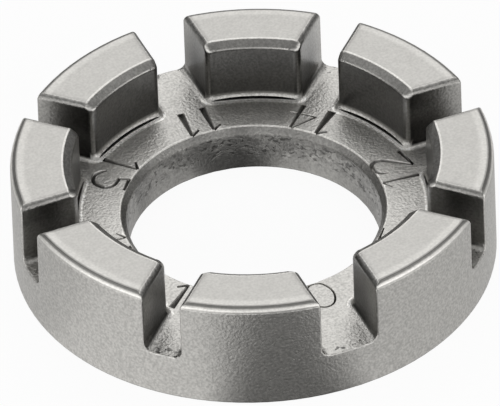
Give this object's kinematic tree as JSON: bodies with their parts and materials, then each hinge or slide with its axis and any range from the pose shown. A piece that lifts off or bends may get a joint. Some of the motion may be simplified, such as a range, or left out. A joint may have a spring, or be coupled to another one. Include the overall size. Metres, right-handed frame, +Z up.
{
  "type": "spoke wrench",
  "caption": "Round bicycle spoke wrench: one cast steel ring with a crown of jaw blocks, whose radial slots grip spoke nipples of several gauges.",
  "frame": {"origin": "centre of the flat foot of the ring, on the axis of the centre bore", "axes": "+Z up along the bore axis, from the foot to the jaw blocks; the 10 gauge slot points to -Y and the 12 gauge slot to +X"},
  "size_m": [0.046, 0.046, 0.0113],
  "materials": {
    "cast_steel": "fine blasted casting skin, satin, bare"
  },
  "bodies": {
    "root": {"wrench_ring": "cast_steel"}
  },
  "joints": []
}
